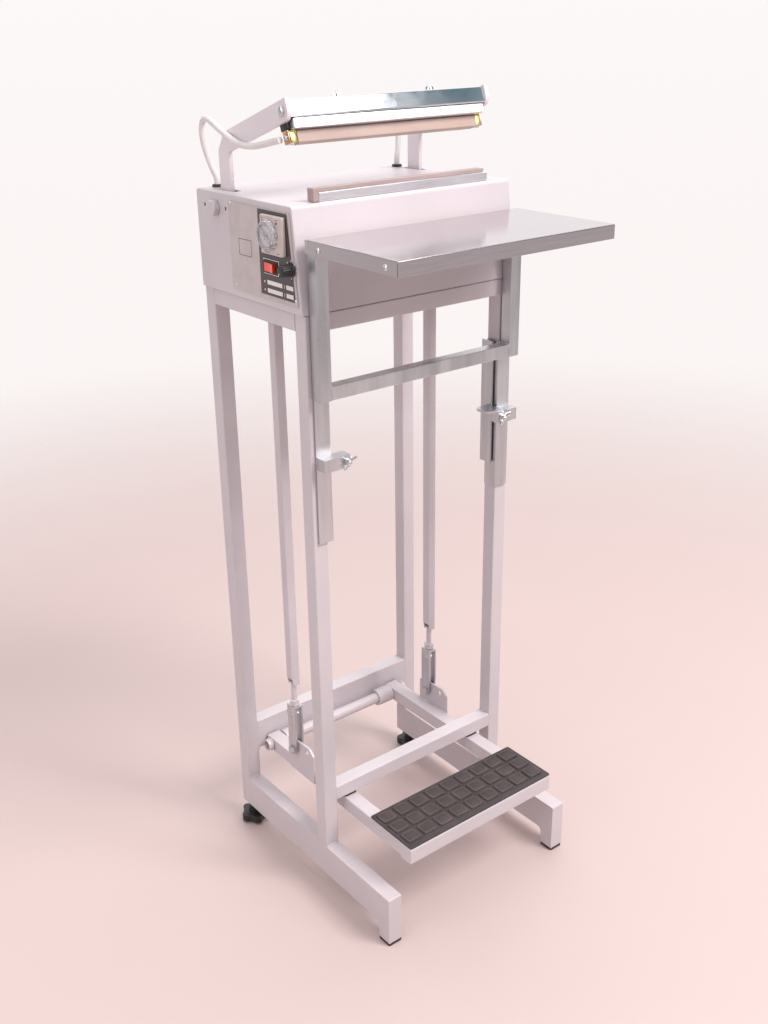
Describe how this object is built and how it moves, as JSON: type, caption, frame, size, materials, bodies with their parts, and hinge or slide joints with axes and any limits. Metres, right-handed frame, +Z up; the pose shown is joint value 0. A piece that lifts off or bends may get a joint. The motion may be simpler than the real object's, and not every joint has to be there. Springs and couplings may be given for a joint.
{
  "type": "foot-operated impulse heat sealer",
  "caption": "Pedestal impulse heat sealer: a foot pedal pulls two rods that close the upper jaw on a wire-grommeted casing, with a height-adjustable steel work table",
  "frame": {"origin": "on the floor under the middle of the bounding box, as it stands with the jaw open and the pedal up", "axes": "+Z up, -Y is the operator's side with the pedal and work table, -X is the control panel's side"},
  "size_m": [0.4242, 0.4648, 1.2503],
  "materials": {
    "grey_paint": "smooth satin powder coat, light warm grey",
    "stand_paint": "satin paint over welded tube",
    "zinc": "zinc-plated mill steel",
    "stainless": "fine brushed stainless sheet",
    "channel": "mirror polished stainless",
    "aluminium": "drawn bar, satin",
    "brass": "machined",
    "ptfe": "tan PTFE-coated glass cloth",
    "rubber": "matt ribbed rubber",
    "black_plastic": "moulded",
    "panel": "matt anodised plate",
    "fascia": "screen-printed film",
    "beige_plastic": "moulded timer case",
    "dial": "clear dial over a pale scale",
    "red_plastic": "translucent rocker",
    "sleeve": "white glass-fibre sleeve",
    "spring_steel": "drawn wire",
    "iron": "varnished laminations"
  },
  "bodies": {
    "stand": {"sled_left": "stand_paint", "sled_right": "stand_paint", "post_front_left": "stand_paint", "post_front_right": "stand_paint", "post_rear_left": "stand_paint", "post_rear_right": "stand_paint", "front_crossbar": "stand_paint", "rear_crossbar": "stand_paint", "top_rail_front": "stand_paint", "top_rail_rear": "stand_paint", "top_rail_left": "stand_paint", "top_rail_right": "stand_paint", "casing_hood": "grey_paint", "pivot_bolt_left": "grey_paint", "pivot_bolt_right": "grey_paint", "base_plate": "zinc", "lower_jaw_bar": "aluminium", "seal_strip": "ptfe", "foot_cap_left": "rubber", "foot_cap_right": "rubber", "pedal_bumper_left": "rubber", "pedal_bumper_right": "rubber", "wire_grommet_left": "rubber", "wire_grommet_right": "rubber", "mains_gland": "rubber", "switch_bezel": "black_plastic", "micro_switch": "black_plastic", "control_plate": "panel", "control_fascia": "fascia", "timer_body": "beige_plastic", "transformer": "iron"},
    "pedal": {"pedal_arm_left": "stand_paint", "pedal_arm_right": "stand_paint", "foot_plate": "stand_paint", "tread_mat": "rubber", "pivot_tube": "stand_paint"},
    "rod_left": {"pull_rod_left": "stand_paint", "clevis_left": "zinc"},
    "rod_right": {"pull_rod_right": "stand_paint", "clevis_right": "zinc"},
    "jaw": {"jaw_arm_left": "grey_paint", "jaw_arm_right": "grey_paint", "jaw_shaft": "zinc", "jaw_channel": "channel", "pressure_bar": "aluminium", "heater_bar": "ptfe", "terminal_left": "brass", "terminal_right": "brass", "jaw_wire_left": "sleeve", "jaw_wire_right": "sleeve", "return_spring": "spring_steel"},
    "table": {"table_top": "stainless", "table_frame": "zinc"},
    "wing_left": {"wing_screw_left": "zinc"},
    "wing_right": {"wing_screw_right": "zinc"},
    "level_left": {"levelling_foot_left": "black_plastic"},
    "level_right": {"levelling_foot_right": "black_plastic"},
    "dial": {"timer_dial": "dial"},
    "rocker": {"power_rocker": "red_plastic"},
    "knob": {"selector_knob": "black_plastic"}
  },
  "joints": [
    {"name": "pedal_hinge", "type": "hinge", "parent": "stand", "child": "pedal", "pos_m": [0.00415, 0.18825, 0.1555], "axis": [1, 0, 0], "range_deg": [0, 14.57], "stiffness_Nm_per_rad": 24, "springref_deg": -42.97},
    {"name": "jaw_hinge", "type": "hinge", "parent": "stand", "child": "jaw", "pos_m": [0.00415, 0.17475, 1.093], "axis": [1, 0, 0], "range_deg": [0, 18.5], "deforming": ["return_spring"]},
    {"name": "rod_left_pin", "type": "hinge", "parent": "pedal", "child": "rod_left", "pos_m": [-0.14735, 0.10375, 0.193], "axis": [1, 0, 0], "range_deg": [-16, 0]},
    {"name": "rod_right_pin", "type": "hinge", "parent": "pedal", "child": "rod_right", "pos_m": [0.14765, 0.10375, 0.193], "axis": [1, 0, 0], "range_deg": [-16, 0]},
    {"name": "table_slide", "type": "slide", "parent": "stand", "child": "table", "axis": [0, 0, 1], "range_m": [-0.15, 0.04]},
    {"name": "wing_screw_left_turn", "type": "hinge", "parent": "table", "child": "wing_left", "pos_m": [-0.14085, -0.05555, 0.7605], "axis": [0, 1, 0], "continuous": true},
    {"name": "wing_screw_right_turn", "type": "hinge", "parent": "table", "child": "wing_right", "pos_m": [0.16115, -0.05555, 0.7605], "axis": [0, 1, 0], "continuous": true},
    {"name": "levelling_left_turn", "type": "hinge", "parent": "stand", "child": "level_left", "pos_m": [-0.17785, 0.20675, 0], "axis": [0, 0, 1], "continuous": true},
    {"name": "levelling_right_turn", "type": "hinge", "parent": "stand", "child": "level_right", "pos_m": [0.18615, 0.20675, 0], "axis": [0, 0, 1], "continuous": true},
    {"name": "timer_dial_turn", "type": "hinge", "parent": "stand", "child": "dial", "pos_m": [-0.19975, 0.02525, 1.0747], "axis": [-1, 0, 0], "range_deg": [0, 280]},
    {"name": "power_rocker_tilt", "type": "hinge", "parent": "stand", "child": "rocker", "pos_m": [-0.19245, 0.03275, 1.0297], "axis": [0, 0, 1], "range_deg": [0, 12]},
    {"name": "selector_knob_turn", "type": "hinge", "parent": "stand", "child": "knob", "pos_m": [-0.19405, -0.01525, 1.0335], "axis": [-1, 0, 0], "range_deg": [0, 270]}
  ],
  "couplings": [
    {"joint": "jaw_hinge", "follows": "pedal_hinge", "ratio": 1.2697},
    {"joint": "rod_left_pin", "follows": "pedal_hinge", "ratio": -1.0454},
    {"joint": "rod_right_pin", "follows": "pedal_hinge", "ratio": -1.0454}
  ]
}
